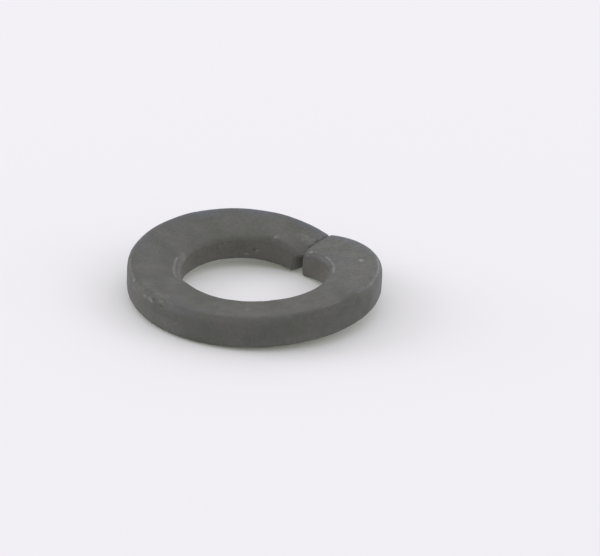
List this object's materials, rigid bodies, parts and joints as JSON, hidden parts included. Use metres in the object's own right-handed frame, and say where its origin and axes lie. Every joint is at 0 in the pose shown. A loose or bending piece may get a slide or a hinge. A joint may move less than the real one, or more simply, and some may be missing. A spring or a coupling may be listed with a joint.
{
  "type": "spring lock washer",
  "caption": "Split spring lock washer for an M10 screw: one turn of near-rectangular spring wire with a wedge-shaped split, a dished upper face and two dipping ends.",
  "frame": {"origin": "on the hole's axis, at the mean height of the wire's middle", "axes": "+Z along the hole's axis, from the base side to the nut side; the split is on the +X side"},
  "size_m": [0.0176, 0.0176, 0.0034],
  "materials": {
    "dark_spring_steel": "matte dark grey phosphate, lightly worn on the edges"
  },
  "bodies": {
    "root": {"lock_washer": "dark_spring_steel"}
  },
  "joints": []
}
